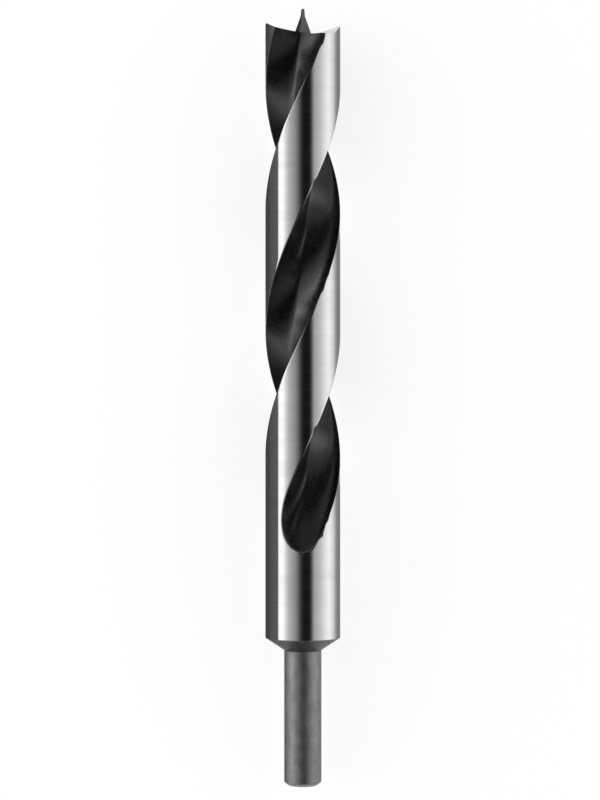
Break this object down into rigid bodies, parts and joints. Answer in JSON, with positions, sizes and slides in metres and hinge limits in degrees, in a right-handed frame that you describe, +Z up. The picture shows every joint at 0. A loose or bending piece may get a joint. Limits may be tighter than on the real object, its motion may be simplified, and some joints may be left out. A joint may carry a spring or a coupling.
{
  "type": "wood twist drill bit",
  "caption": "Wood twist drill bit with two helical flutes, a centre point, two spurs and a reduced round shank.",
  "frame": {"origin": "centre of the shank's end face, on the bit's axis", "axes": "+Y along the bit's axis, from the shank to the centre point; +Z up from the surface that the bit lies on"},
  "size_m": [0.02, 0.2075, 0.02],
  "materials": {
    "steel": "satin"
  },
  "bodies": {
    "root": {"drill_bit": "steel"}
  },
  "joints": []
}
